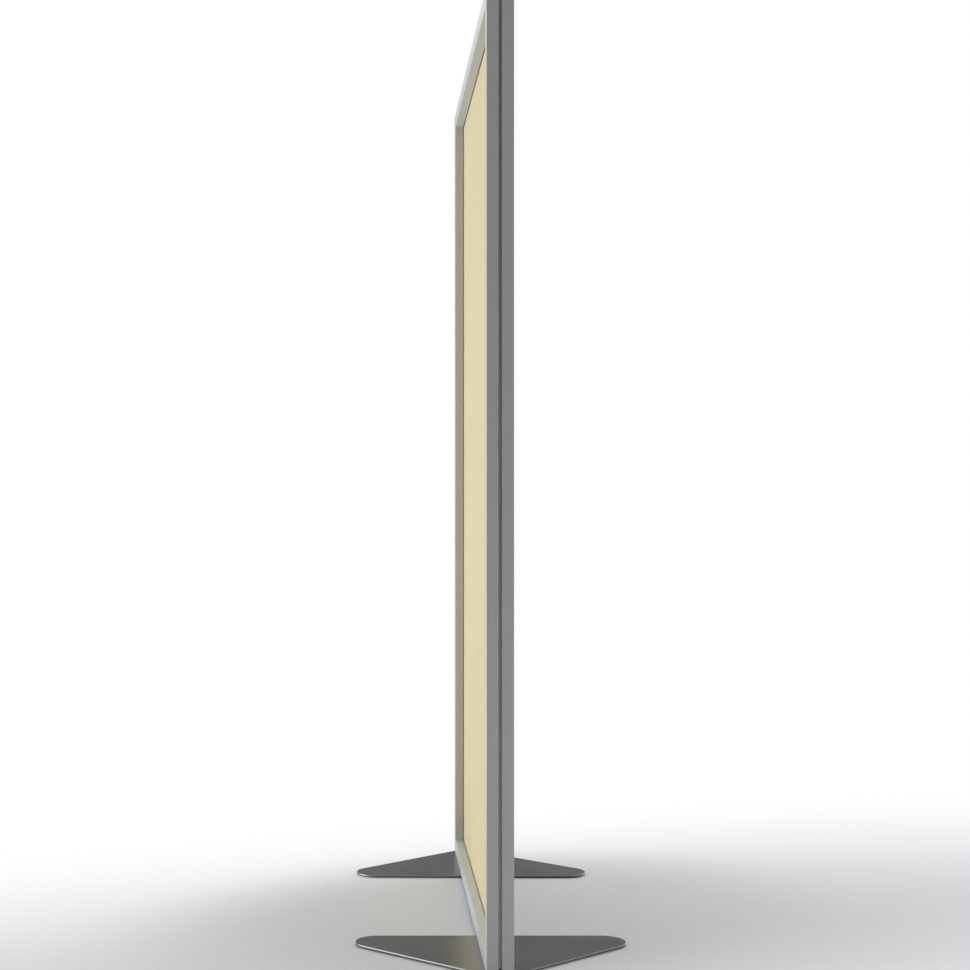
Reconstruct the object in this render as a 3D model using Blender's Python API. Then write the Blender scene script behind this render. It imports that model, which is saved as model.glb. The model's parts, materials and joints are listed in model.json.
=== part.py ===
"""Floor partition panel: a cloth-covered board in a mitred aluminium frame on two flat steel feet.

X runs along the panel, Y through its thickness with the front at -Y, and Z up from the floor.
The origin is on the floor, below the middle of the panel. All sizes are in metres.
"""

import math

import bmesh
import bpy
from mathutils import Matrix

# Panel frame
PANEL_LENGTH = 1.000
PANEL_HEIGHT = 1.600
PROFILE_DEPTH = 0.045
PROFILE_FACE = 0.028
OUTER_WALL = 0.0018
INNER_WEB = 0.0016
OUTER_EDGE_RADIUS = 0.0008
LIP_RADIUS = 0.0004
CHAMBER_RADIUS = 0.0006

# Linking slot along the outer edge of the profile
SLOT_MOUTH = 0.006
SLOT_LIP = 0.0020
SLOT_DEPTH = 0.0055

# Groove along the inner edge of the profile, which holds the infill
GROOVE_LIP = 0.0018
MOUTH_CLEARANCE = 0.0020
STRIP_SPACE = 0.0033
BOARD_INSERT = 0.0090
BOARD_EDGE_SPACE = 0.0020

# Infill
INFILL_THICKNESS = 0.0075
CLOTH_THICKNESS = 0.0007
BOARD_EDGE_RADIUS = 0.0005

# Glazing strips
STRIP_WIDTH = 0.0060
STRIP_BASE = 0.0006
FIN_COUNT = 3
FIN_ROOT = 0.0014
FIN_TIP = 0.0004

# Setting blocks
BLOCK_LENGTH = 0.080
BLOCK_EDGE_RADIUS = 0.0003
BLOCK_PLACE_SHARE = 0.5

# Corner keys
KEY_LEG = 0.085
KEY_TIP_CHAMFER = 0.0030
KEY_RIB_COUNT = 8
KEY_RIB_PITCH = 0.0050
KEY_RIB_DEPTH = 0.0008
KEY_RIB_SETBACK = 0.0070
KEY_WINDOW_LENGTH = 0.034
KEY_WINDOW_WIDTH = 0.0090
KEY_WINDOW_SETBACK = 0.010
KEY_WINDOW_RADIUS = 0.0030

# Feet
FOOT_WIDTH = 0.470
FOOT_LENGTH = 0.256
FOOT_THICKNESS = 0.0040
FOOT_CORNER_RADIUS = 0.040
FOOT_EDGE_RADIUS = 0.0004

# Floor pads
PAD_DIAMETER = 0.022
PAD_THICKNESS = 0.0015
PAD_EDGE_RADIUS = 0.0004

# Foot screws and slot nut bars
SCREW_DIAMETER = 0.0050
SCREW_HEAD_DIAMETER = 0.0100
SCREW_HEAD_RIM = 0.0003
SCREW_TIP_CHAMFER = 0.0005
SCREW_HOLE_CLEARANCE = 0.0003
SCREW_SPACING = 0.100
SCREW_FIRST_PLACE = 0.085
SOCKET_ACROSS_FLATS = 0.0030
SOCKET_DEPTH = 0.0017
NUT_OVERHANG = 0.015
NUT_ROOM = 0.0015
NUT_CORNER_RADIUS = 0.0015

# Small gap left between pieces that touch, and how far a cutter runs past what it cuts
SEAT_GAP = 0.0003
CUTTER_OVERRUN = 0.0010

# Facets
ARC_STEP = math.radians(15)
FOOT_ARC_STEP = math.radians(5)
ROUND_SIDES = 24
HEX_SIDES = 6
EDGE_SEGMENTS = 2
SMOOTH_ANGLE = math.radians(35)

# Sizes that follow from those above
WEB_SPACING = INFILL_THICKNESS + 2 * STRIP_SPACE
GROOVE_MOUTH = INFILL_THICKNESS + 2 * MOUTH_CLEARANCE
GROOVE_DEPTH = BOARD_INSERT + BOARD_EDGE_SPACE
SLOT_FLOOR = PROFILE_FACE - SLOT_LIP - SLOT_DEPTH
MITRE_GAP = SEAT_GAP / math.sqrt(2)
CHAMBER_INNER = WEB_SPACING / 2 + INNER_WEB
CHAMBER_OUTER = PROFILE_DEPTH / 2 - OUTER_WALL
CLOTH_FOLD_RADIUS = BOARD_EDGE_RADIUS + SEAT_GAP + CLOTH_THICKNESS
INFILL_LENGTH = PANEL_LENGTH - 2 * (PROFILE_FACE - BOARD_INSERT)
INFILL_HEIGHT = PANEL_HEIGHT - 2 * (PROFILE_FACE - BOARD_INSERT)
FOOT_BASE = PAD_THICKNESS + SEAT_GAP
FRAME_BASE = FOOT_BASE + FOOT_THICKNESS + SEAT_GAP
NUT_THICKNESS = SLOT_DEPTH - NUT_ROOM


def clear_scene():
    for obj in list(bpy.data.objects):
        bpy.data.objects.remove(obj, do_unlink=True)


def make_material(name, colour, roughness, metallic):
    material = bpy.data.materials.new(name)
    material.use_nodes = True
    shader = material.node_tree.nodes["Principled BSDF"]
    shader.inputs["Base Color"].default_value = (*colour, 1.0)
    shader.inputs["Roughness"].default_value = roughness
    shader.inputs["Metallic"].default_value = metallic
    return material


def make_materials():
    return {
        "aluminium": make_material("satin_aluminium", (0.50, 0.51, 0.51), 0.42, 0.85),
        "board": make_material("fibreboard", (0.42, 0.31, 0.20), 0.80, 0.0),
        "cloth": make_material("pale_yellow_cloth", (0.75, 0.67, 0.42), 0.90, 0.0),
        "rubber": make_material("black_rubber", (0.03, 0.03, 0.03), 0.75, 0.0),
        "plastic": make_material("grey_plastic", (0.20, 0.20, 0.21), 0.50, 0.0),
        "key": make_material("cast_key", (0.55, 0.56, 0.58), 0.55, 0.9),
        "foot": make_material("dark_grey_steel", (0.13, 0.13, 0.13), 0.38, 0.3),
        "screw": make_material("zinc_plated_steel", (0.60, 0.61, 0.63), 0.35, 1.0),
        "pad": make_material("rubber_pad", (0.05, 0.05, 0.05), 0.90, 0.0),
    }


def make_mesh(name, bm, material, smooth):
    """Turn a bmesh into a mesh with all its faces pointing out."""
    bmesh.ops.recalc_face_normals(bm, faces=bm.faces)
    if bm.calc_volume(signed=True) < 0:
        bmesh.ops.reverse_faces(bm, faces=bm.faces)
    mesh = bpy.data.meshes.new(name)
    bm.to_mesh(mesh)
    bm.free()
    mesh.materials.append(material)
    if smooth:
        mesh.shade_smooth()
        mesh.set_sharp_from_angle(angle=SMOOTH_ANGLE)
    return mesh


def make_object(name, bm, material, parent, smooth=False):
    return place_mesh(name, make_mesh(name, bm, material, smooth), parent)


def place_mesh(name, mesh, parent):
    obj = bpy.data.objects.new(name, mesh)
    bpy.context.scene.collection.objects.link(obj)
    obj.parent = parent
    return obj


def make_empty(name, location, turn_z=0.0):
    empty = bpy.data.objects.new(name, None)
    bpy.context.scene.collection.objects.link(empty)
    empty.location = location
    empty.rotation_euler = (0, 0, turn_z)
    return empty


def arc(centre, radius, start, sweep, step=ARC_STEP):
    """Points along an arc, both ends included."""
    count = max(1, math.ceil(abs(sweep) / step))
    angles = [start + sweep * i / count for i in range(count + 1)]
    return [(centre[0] + radius * math.cos(a), centre[1] + radius * math.sin(a)) for a in angles]


def rounded_outline(corners):
    """Closed outline through (x, y, radius) corners, each rounded by a tangent arc."""
    points = []
    for i, (x, y, radius) in enumerate(corners):
        if radius == 0:
            points.append((x, y))
            continue
        before = corners[i - 1]
        after = corners[(i + 1) % len(corners)]
        heading_in = math.atan2(y - before[1], x - before[0])
        heading_out = math.atan2(after[1] - y, after[0] - x)
        turn = (heading_out - heading_in + math.pi) % (2 * math.pi) - math.pi
        side = math.copysign(1, turn)
        setback = radius * math.tan(abs(turn) / 2)
        start = (x - setback * math.cos(heading_in), y - setback * math.sin(heading_in))
        centre = (start[0] - side * radius * math.sin(heading_in),
                  start[1] + side * radius * math.cos(heading_in))
        points += arc(centre, radius, heading_in - side * math.pi / 2, turn)
    return points


def rounded_rectangle(low, high, radius):
    return rounded_outline([(low[0], low[1], radius), (high[0], low[1], radius),
                            (high[0], high[1], radius), (low[0], high[1], radius)])


def circle_outline(centre, radius):
    return arc(centre, radius, 0, 2 * math.pi, 2 * math.pi / ROUND_SIDES)[:-1]


def filled_outline(bm, loops, to_point):
    """Flat faces between an outer loop and its holes, placed by to_point(a, b)."""
    edges = []
    for loop in loops:
        verts = [bm.verts.new(to_point(a, b)) for a, b in loop]
        edges += [bm.edges.new((verts[i - 1], verts[i])) for i in range(len(verts))]
    fill = bmesh.ops.triangle_fill(bm, use_beauty=True, use_dissolve=False, edges=edges)
    return [item for item in fill["geom"] if isinstance(item, bmesh.types.BMFace)]


def extruded(loops, to_point, travel):
    """Solid made by moving a filled outline along a straight travel."""
    bm = bmesh.new()
    faces = filled_outline(bm, loops, to_point)
    extrusion = bmesh.ops.extrude_face_region(bm, geom=faces)
    moved = [item for item in extrusion["geom"] if isinstance(item, bmesh.types.BMVert)]
    bmesh.ops.translate(bm, verts=moved, vec=travel)
    return bm


def rounded_box(size, centre, radius):
    """Box with all its edges rounded."""
    bm = bmesh.new()
    bmesh.ops.create_cube(bm, size=1.0)
    bmesh.ops.scale(bm, verts=bm.verts, vec=size)
    bmesh.ops.translate(bm, verts=bm.verts, vec=centre)
    bmesh.ops.bevel(bm, geom=bm.edges[:], offset=radius, segments=EDGE_SEGMENTS, profile=0.5,
                    affect="EDGES")
    return bm


def mitred_bar(loops, outer_length):
    """Bar along local X whose section is (across, outward) and whose ends are cut at 45 degrees.

    Outward is measured from the frame's inner edge, so the bar is full length at PROFILE_FACE.
    """
    bm = extruded(loops, lambda across, outward: (-1, across, outward), (2, 0, 0))
    for vert in bm.verts:
        half = outer_length / 2 - (PROFILE_FACE - vert.co.z) - MITRE_GAP
        vert.co.x *= half
    return bm


# Frame members

def profile_loops():
    """Section of the extrusion: the outline with its slot and groove, then its three chambers."""
    side = PROFILE_DEPTH / 2
    web = WEB_SPACING / 2
    mouth = GROOVE_MOUTH / 2
    slot = SLOT_MOUTH / 2
    right_half = [
        (web, GROOVE_DEPTH, 0),
        (web, GROOVE_LIP, 0),
        (mouth, GROOVE_LIP, 0),
        (mouth, 0, LIP_RADIUS),
        (side, 0, OUTER_EDGE_RADIUS),
        (side, PROFILE_FACE, OUTER_EDGE_RADIUS),
        (slot, PROFILE_FACE, LIP_RADIUS),
        (slot, PROFILE_FACE - SLOT_LIP, 0),
        (web, PROFILE_FACE - SLOT_LIP, 0),
        (web, SLOT_FLOOR, 0),
    ]
    left_half = [(-across, outward, radius) for across, outward, radius in reversed(right_half)]
    outline = rounded_outline(right_half + left_half)
    right_chamber = rounded_rectangle((CHAMBER_INNER, OUTER_WALL),
                                      (CHAMBER_OUTER, PROFILE_FACE - OUTER_WALL), CHAMBER_RADIUS)
    left_chamber = [(-across, outward) for across, outward in right_chamber]
    middle_chamber = rounded_rectangle((-web, GROOVE_DEPTH + INNER_WEB),
                                       (web, SLOT_FLOOR - INNER_WEB), CHAMBER_RADIUS)
    return [outline, right_chamber, left_chamber, middle_chamber]


def strip_loops(side):
    """Section of a glazing strip: a flat base on the web with fins pressing on the cloth."""
    low = GROOVE_LIP + SEAT_GAP
    high = low + STRIP_WIDTH
    back = WEB_SPACING / 2 - SEAT_GAP
    base = back - STRIP_BASE
    tip = INFILL_THICKNESS / 2 + SEAT_GAP
    points = [(base, low), (back, low), (back, high), (base, high)]
    for i in reversed(range(FIN_COUNT)):
        middle = low + STRIP_WIDTH * (i + 0.5) / FIN_COUNT
        points += [(base, middle + FIN_ROOT / 2), (tip, middle + FIN_TIP / 2),
                   (tip, middle - FIN_TIP / 2), (base, middle - FIN_ROOT / 2)]
    return [[(side * across, outward) for across, outward in points]]


# Each side of the frame: its name, its outer length, where its inner edge lies from the middle
# of the frame, and the turn about Y that points its outward direction away from the middle
SIDES = [
    ("top", PANEL_LENGTH, (0, 0, PANEL_HEIGHT / 2 - PROFILE_FACE), 0),
    ("near", PANEL_HEIGHT, (PANEL_LENGTH / 2 - PROFILE_FACE, 0, 0), math.pi / 2),
    ("bottom", PANEL_LENGTH, (0, 0, PROFILE_FACE - PANEL_HEIGHT / 2), math.pi),
    ("far", PANEL_HEIGHT, (PROFILE_FACE - PANEL_LENGTH / 2, 0, 0), -math.pi / 2),
]
MEMBER_NAMES = {"top": "top_rail", "near": "near_post", "bottom": "bottom_rail", "far": "far_post"}


def place_on_side(obj, place, turn):
    obj.location = place
    obj.rotation_euler = (0, turn, 0)


def make_frame_members(materials, middle):
    for side, length, place, turn in SIDES:
        bm = mitred_bar(profile_loops(), length)
        member = make_object(MEMBER_NAMES[side], bm, materials["aluminium"], middle, smooth=True)
        place_on_side(member, place, turn)


def make_glazing_strips(materials, middle):
    for side, length, place, turn in SIDES:
        for face, sign in (("front", -1), ("back", 1)):
            bm = mitred_bar(strip_loops(sign), length)
            strip = make_object(f"glazing_strip_{side}_{face}", bm, materials["rubber"], middle)
            place_on_side(strip, place, turn)


# Corner keys

def key_leg_side(flank, inward):
    """Ribbed flank of a key's leg, from its root to its tip, as (along, across) points.

    flank is the across coordinate of the flank, and inward is the sign that leads into the leg.
    """
    sunk = flank + inward * KEY_RIB_DEPTH
    first = KEY_LEG - KEY_RIB_SETBACK - KEY_RIB_COUNT * KEY_RIB_PITCH
    points = []
    for i in range(KEY_RIB_COUNT):
        root = first + i * KEY_RIB_PITCH
        points += [(root, flank), (root + KEY_RIB_PITCH, sunk)]
    return points + [(KEY_LEG - KEY_TIP_CHAMFER, sunk), (KEY_LEG, sunk + inward * KEY_TIP_CHAMFER)]


def key_loops():
    """L-shaped key seen from the side, measured inwards from the frame's outer corner."""
    outer = OUTER_WALL + SEAT_GAP
    inner = PROFILE_FACE - OUTER_WALL - SEAT_GAP
    leg = key_leg_side(outer, 1) + list(reversed(key_leg_side(inner, -1)))
    other_leg = [(across, along) for along, across in reversed(leg)]
    outline = [(outer, outer)] + leg + [(inner, inner)] + other_leg
    middle = (outer + inner) / 2
    window_start = inner + KEY_WINDOW_SETBACK
    window = rounded_rectangle((window_start, middle - KEY_WINDOW_WIDTH / 2),
                               (window_start + KEY_WINDOW_LENGTH, middle + KEY_WINDOW_WIDTH / 2),
                               KEY_WINDOW_RADIUS)
    other_window = [(across, along) for along, across in window]
    return [outline, window, other_window]


# Each corner: its name, its place as signs of X and Z, and its key's turn about Y
CORNERS = [
    ("top_near", (1, 1), 0),
    ("bottom_near", (1, -1), math.pi / 2),
    ("bottom_far", (-1, -1), math.pi),
    ("top_far", (-1, 1), -math.pi / 2),
]


def make_corner_keys(materials, middle):
    thickness = CHAMBER_OUTER - CHAMBER_INNER - 2 * SEAT_GAP
    bm = extruded(key_loops(), lambda inwards, down: (-inwards, -thickness / 2, -down),
                  (0, thickness, 0))
    mesh = make_mesh("corner_key", bm, materials["key"], smooth=False)
    chamber_middle = (CHAMBER_INNER + CHAMBER_OUTER) / 2
    for corner, (sign_x, sign_z), turn in CORNERS:
        for face, sign_y in (("front", -1), ("back", 1)):
            key = place_mesh(f"corner_key_{corner}_{face}", mesh, middle)
            key.location = (sign_x * PANEL_LENGTH / 2, sign_y * chamber_middle,
                            sign_z * PANEL_HEIGHT / 2)
            key.rotation_euler = (0, turn, 0)


# Infill

def make_infill(materials, middle):
    """Fibreboard with cloth on both faces; the front cloth wraps the board's edges."""
    wrap = CLOTH_THICKNESS + SEAT_GAP
    board_size = (INFILL_LENGTH - 2 * wrap, INFILL_THICKNESS - 2 * wrap, INFILL_HEIGHT - 2 * wrap)
    board = rounded_box(board_size, (0, 0, 0), BOARD_EDGE_RADIUS)
    make_object("infill_board", board, materials["board"], middle, smooth=True)

    front = -INFILL_THICKNESS / 2
    back = INFILL_THICKNESS / 2
    make_object("front_cloth", wrapped_cloth(front, back - wrap), materials["cloth"], middle)

    flat = bmesh.new()
    bmesh.ops.create_cube(flat, size=1.0)
    bmesh.ops.scale(flat, verts=flat.verts, vec=(INFILL_LENGTH, CLOTH_THICKNESS, INFILL_HEIGHT))
    bmesh.ops.translate(flat, verts=flat.verts, vec=(0, back - CLOTH_THICKNESS / 2, 0))
    make_object("back_cloth", flat, materials["cloth"], middle)


def rearmost_face(bm):
    return max(bm.faces, key=lambda face: face.calc_center_median().y)


def wrapped_cloth(front, hem):
    """Shallow tray of cloth: its face at front, its rim running back to hem."""
    bm = bmesh.new()
    depth = hem - front
    bmesh.ops.create_cube(bm, size=1.0)
    bmesh.ops.scale(bm, verts=bm.verts, vec=(INFILL_LENGTH, depth, INFILL_HEIGHT))
    bmesh.ops.translate(bm, verts=bm.verts, vec=(0, front + depth / 2, 0))
    open_side = rearmost_face(bm)
    folds = [edge for edge in bm.edges if edge not in open_side.edges[:]]
    bmesh.ops.bevel(bm, geom=folds, offset=CLOTH_FOLD_RADIUS, segments=EDGE_SEGMENTS, profile=0.5,
                    affect="EDGES")
    open_side = rearmost_face(bm)
    bmesh.ops.inset_region(bm, faces=[open_side], thickness=CLOTH_THICKNESS, use_even_offset=True)
    floor = bmesh.ops.extrude_discrete_faces(bm, faces=[open_side])["faces"][0]
    bmesh.ops.translate(bm, verts=floor.verts[:], vec=(0, CLOTH_THICKNESS - depth, 0))
    return bm


def make_setting_blocks(materials, middle):
    """Two blocks that carry the infill's lower edge in the bottom rail's groove."""
    height = BOARD_EDGE_SPACE - 2 * SEAT_GAP
    size = (BLOCK_LENGTH, WEB_SPACING - 2 * SEAT_GAP, height)
    base = PROFILE_FACE - GROOVE_DEPTH - PANEL_HEIGHT / 2 + SEAT_GAP
    for side, sign in (("near", 1), ("far", -1)):
        centre = (sign * BLOCK_PLACE_SHARE * INFILL_LENGTH / 2, 0, base + height / 2)
        block = rounded_box(size, centre, BLOCK_EDGE_RADIUS)
        make_object(f"setting_block_{side}", block, materials["plastic"], middle)


# Feet, with x = 0 at the panel's end and -X leading in under the panel

def foot_arc_centres():
    """Middles of the three round corners: the outer point and the two inner wings."""
    wing = FOOT_WIDTH / 2 - FOOT_CORNER_RADIUS
    return [(-FOOT_CORNER_RADIUS, 0), (FOOT_CORNER_RADIUS - FOOT_LENGTH, wing),
            (FOOT_CORNER_RADIUS - FOOT_LENGTH, -wing)]


def foot_outline():
    """Triangle with round corners, tangent to three equal circles."""
    centres = foot_arc_centres()
    points = []
    for i, centre in enumerate(centres):
        before = centres[i - 1]
        after = centres[(i + 1) % len(centres)]
        start = math.atan2(centre[1] - before[1], centre[0] - before[0]) - math.pi / 2
        end = math.atan2(after[1] - centre[1], after[0] - centre[0]) - math.pi / 2
        sweep = (end - start) % (2 * math.pi)
        points += arc(centre, FOOT_CORNER_RADIUS, start, sweep, FOOT_ARC_STEP)
    return points


def screw_places():
    return [-SCREW_FIRST_PLACE, -SCREW_FIRST_PLACE - SCREW_SPACING]


def ring(bm, radius, height, sides=ROUND_SIDES):
    """Circle of edges about the vertical axis."""
    made = bmesh.ops.create_circle(bm, cap_ends=False, radius=radius, segments=sides,
                                   matrix=Matrix.Translation((0, 0, height)))
    return list({edge for vert in made["verts"] for edge in vert.link_edges})


def turned(bm, stations):
    """Turned shape through (radius, height) stations, capped at its top and open below."""
    rings = [ring(bm, radius, height) for radius, height in stations]
    for lower, upper in zip(rings, rings[1:]):
        bmesh.ops.bridge_loops(bm, edges=lower + upper)
    bmesh.ops.contextual_create(bm, geom=rings[-1])
    return rings[0]


def make_countersink_cutter(name, foot, x):
    """Tool shape of a countersunk hole that opens downwards; z = 0 is the plate's lower face."""
    hole = SCREW_DIAMETER / 2 + SCREW_HOLE_CLEARANCE
    head = SCREW_HEAD_DIAMETER / 2 + SEAT_GAP * math.sqrt(2)
    bm = bmesh.new()
    mouth = turned(bm, [(head, -CUTTER_OVERRUN), (head, SCREW_HEAD_RIM),
                        (hole, SCREW_HEAD_RIM + head - hole),
                        (hole, FOOT_THICKNESS + CUTTER_OVERRUN)])
    bmesh.ops.contextual_create(bm, geom=mouth)
    cutter = make_object(name, bm, None, foot)
    cutter.location = (x, 0, FOOT_BASE)
    cutter.hide_render = True
    cutter.display_type = "WIRE"
    return cutter


def make_foot_plate(materials, name, foot):
    bm = extruded([foot_outline()], lambda x, y: (x, y, 0), (0, 0, FOOT_THICKNESS))
    rim = [edge for edge in bm.edges
           if edge.verts[0].co.z == edge.verts[1].co.z and edge.calc_face_angle(0) > SMOOTH_ANGLE]
    bmesh.ops.bevel(bm, geom=rim, offset=FOOT_EDGE_RADIUS, segments=EDGE_SEGMENTS, profile=0.5,
                    affect="EDGES")
    plate = make_object(f"{name}_foot_plate", bm, materials["foot"], foot, smooth=True)
    plate.location = (0, 0, FOOT_BASE)
    for i, x in enumerate(screw_places()):
        cut = plate.modifiers.new(f"countersink_{i + 1}", "BOOLEAN")
        cut.operation = "DIFFERENCE"
        cut.solver = "EXACT"
        cut.object = make_countersink_cutter(f"{name}_countersink_{i + 1}", foot, x)


def screw_shape():
    """Countersunk screw pointing up, its head's face at z = 0 with a hexagonal socket in it."""
    radius = SCREW_DIAMETER / 2
    head = SCREW_HEAD_DIAMETER / 2
    nut_top = FRAME_BASE + SLOT_LIP + SEAT_GAP + NUT_THICKNESS - FOOT_BASE
    tip = nut_top + (NUT_ROOM - SEAT_GAP) / 2
    bm = bmesh.new()
    rim = turned(bm, [(head, 0), (head, SCREW_HEAD_RIM), (radius, SCREW_HEAD_RIM + head - radius),
                      (radius, tip - SCREW_TIP_CHAMFER), (radius - SCREW_TIP_CHAMFER, tip)])
    corner_radius = SOCKET_ACROSS_FLATS / math.sqrt(3)
    mouth = ring(bm, corner_radius, 0, HEX_SIDES)
    bmesh.ops.bridge_loops(bm, edges=rim + mouth)
    floor = ring(bm, corner_radius, SOCKET_DEPTH, HEX_SIDES)
    bmesh.ops.bridge_loops(bm, edges=mouth + floor)
    bmesh.ops.contextual_create(bm, geom=floor)
    return bm


def make_foot_screws(materials, name, foot):
    for i, x in enumerate(screw_places()):
        screw = make_object(f"{name}_foot_screw_{i + 1}", screw_shape(), materials["screw"], foot,
                            smooth=True)
        screw.location = (x, 0, FOOT_BASE)


def make_nut_bar(materials, name, foot):
    """Bar with two tapped holes that slides in the bottom rail's slot."""
    places = screw_places()
    half_width = WEB_SPACING / 2 - SEAT_GAP
    outline = rounded_rectangle((min(places) - NUT_OVERHANG, -half_width),
                                (max(places) + NUT_OVERHANG, half_width), NUT_CORNER_RADIUS)
    holes = [circle_outline((x, 0), SCREW_DIAMETER / 2 + SEAT_GAP) for x in places]
    bm = extruded([outline] + holes, lambda x, y: (x, y, 0), (0, 0, NUT_THICKNESS))
    bar = make_object(f"{name}_nut_bar", bm, materials["screw"], foot, smooth=True)
    bar.location = (0, 0, FRAME_BASE + SLOT_LIP + SEAT_GAP)


def pad_shape():
    """Round pad standing on z = 0, its lower rim softened."""
    bm = bmesh.new()
    bmesh.ops.create_cone(bm, cap_ends=True, segments=ROUND_SIDES, radius1=PAD_DIAMETER / 2,
                          radius2=PAD_DIAMETER / 2, depth=PAD_THICKNESS,
                          matrix=Matrix.Translation((0, 0, PAD_THICKNESS / 2)))
    rim = [edge for edge in bm.edges if all(vert.co.z < PAD_THICKNESS / 2 for vert in edge.verts)]
    bmesh.ops.bevel(bm, geom=rim, offset=PAD_EDGE_RADIUS, segments=EDGE_SEGMENTS, profile=0.5,
                    affect="EDGES")
    return bm


def make_floor_pads(materials, name, foot):
    for place, (x, y) in zip(("outer", "back", "front"), foot_arc_centres()):
        pad = make_object(f"{name}_floor_pad_{place}", pad_shape(), materials["pad"], foot,
                          smooth=True)
        pad.location = (x, y, 0)


def make_feet(materials):
    for name, sign, turn in (("near", 1, 0.0), ("far", -1, math.pi)):
        foot = make_empty(f"{name}_foot", (sign * PANEL_LENGTH / 2, 0, 0), turn)
        make_foot_plate(materials, name, foot)
        make_foot_screws(materials, name, foot)
        make_nut_bar(materials, name, foot)
        make_floor_pads(materials, name, foot)


def main():
    clear_scene()
    materials = make_materials()
    middle = make_empty("panel_middle", (0, 0, FRAME_BASE + PANEL_HEIGHT / 2))
    make_frame_members(materials, middle)
    make_corner_keys(materials, middle)
    make_infill(materials, middle)
    make_glazing_strips(materials, middle)
    make_setting_blocks(materials, middle)
    make_feet(materials)


main()
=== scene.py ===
# %% [markdown]
# This file dresses a floor partition panel: a board covered in pale yellow cloth, held in a frame
# of one slotted aluminium profile, on two flat steel feet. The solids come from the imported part
# and stay where they are. A dressing script could also model everything again, but then the two
# would drift apart, so only the pieces whose surface the solids can't hold are made anew here.

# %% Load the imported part
import json
import math

import bmesh
import bpy
from mathutils import Matrix, Vector, noise


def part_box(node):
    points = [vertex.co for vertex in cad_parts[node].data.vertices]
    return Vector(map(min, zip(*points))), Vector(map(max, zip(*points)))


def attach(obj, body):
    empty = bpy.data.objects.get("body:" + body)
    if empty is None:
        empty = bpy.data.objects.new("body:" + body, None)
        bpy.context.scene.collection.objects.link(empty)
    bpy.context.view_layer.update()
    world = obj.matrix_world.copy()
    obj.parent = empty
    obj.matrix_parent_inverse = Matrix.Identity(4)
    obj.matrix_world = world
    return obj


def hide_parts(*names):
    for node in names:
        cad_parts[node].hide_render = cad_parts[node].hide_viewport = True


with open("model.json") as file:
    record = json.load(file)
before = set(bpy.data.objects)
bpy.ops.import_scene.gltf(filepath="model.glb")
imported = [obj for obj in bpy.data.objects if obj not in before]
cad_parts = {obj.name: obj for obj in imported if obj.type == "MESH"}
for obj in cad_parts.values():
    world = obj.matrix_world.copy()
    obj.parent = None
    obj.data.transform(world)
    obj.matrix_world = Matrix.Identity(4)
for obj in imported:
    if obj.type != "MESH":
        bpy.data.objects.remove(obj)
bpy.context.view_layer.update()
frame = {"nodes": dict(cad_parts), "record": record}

solids = frame["nodes"]

# %% [markdown]
# The camera stands about level with the middle of the panel and looks exactly along it from its
# near end, a little to the front side. Such a view could be set by aiming the camera at the panel,
# but then upright edges would lean. A level camera with a lens shift keeps every upright line
# upright, as an architectural photographer does, so the shift does the framing here.

# %% Camera
CAMERA_PLACE = (3.342, -0.220, 0.7835)
CAMERA_LENS = 65.24
CAMERA_SHIFT = (0.1245, 0.0095)

scene = bpy.context.scene
scene.view_settings.view_transform = "Standard"
camera = bpy.data.objects.new("camera", bpy.data.cameras.new("camera"))
scene.collection.objects.link(camera)
camera.location = CAMERA_PLACE
camera.rotation_euler = (math.pi / 2, 0, math.pi / 2)
camera.data.lens = CAMERA_LENS
camera.data.shift_x, camera.data.shift_y = CAMERA_SHIFT
scene.camera = camera

# %% [markdown]
# Materials are node trees, and every one here is put together from the same few steps: make a
# node, set its values, link it to the next. Clicking them together in the editor gives the same
# tree. A few short helpers keep the recipes below readable.

# %% Helpers for node trees
WHITE = (1.0, 1.0, 1.0, 1.0)


def feed(tree, socket, part):
    """Set an input: link the output of another node, or write a number, colour or vector."""
    if isinstance(part, bpy.types.NodeSocket):
        tree.links.new(part, socket)
    elif part is not None:
        socket.default_value = part


def add_node(tree, kind, settings=None, values=None):
    """A new node with its settings and its inputs, each a value or another node's output."""
    node = tree.nodes.new(kind)
    for name, value in (settings or {}).items():
        setattr(node, name, value)
    for name, part in (values or {}).items():
        feed(tree, node.inputs[name], part)
    return node


def new_material(name, values):
    """A material, its node tree and its Principled shader with values on the shader's sockets."""
    material = bpy.data.materials.new(name)
    material.use_nodes = True
    shader = material.node_tree.nodes["Principled BSDF"]
    for socket, value in values.items():
        shader.inputs[socket].default_value = value
    return material, material.node_tree, shader


def math_node(tree, operation, first, second=None):
    """Result of one sum; each part is a number or the output of another node."""
    node = add_node(tree, "ShaderNodeMath", {"operation": operation})
    feed(tree, node.inputs[0], first)
    feed(tree, node.inputs[1], second)
    return node.outputs[0]


def spread(tree, value, low, high, to_low=0.0, to_high=1.0):
    """Value stretched from low..high to to_low..to_high, held at both ends."""
    node = add_node(tree, "ShaderNodeMapRange", values={
        "Value": value, "From Min": low, "From Max": high, "To Min": to_low, "To Max": to_high})
    return node.outputs["Result"]


def blended(tree, factor, first, second):
    """Colour between first and second."""
    node = add_node(tree, "ShaderNodeMix", {"data_type": "RGBA"})
    feed(tree, node.inputs[0], factor)
    feed(tree, node.inputs[6], first)
    feed(tree, node.inputs[7], second)
    return node.outputs[2]


# %% [markdown]
# The room is a studio: a pale floor, white all round, and soft light. The white could come from
# strong lamps on a backdrop, but those would wash out the object. Light Path tells the shader
# which rays come from the camera or from a reflection, and only those see plain white, while the
# light that falls on the object stays moderate.

# %% World
AMBIENT_STRENGTH = 0.42


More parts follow.
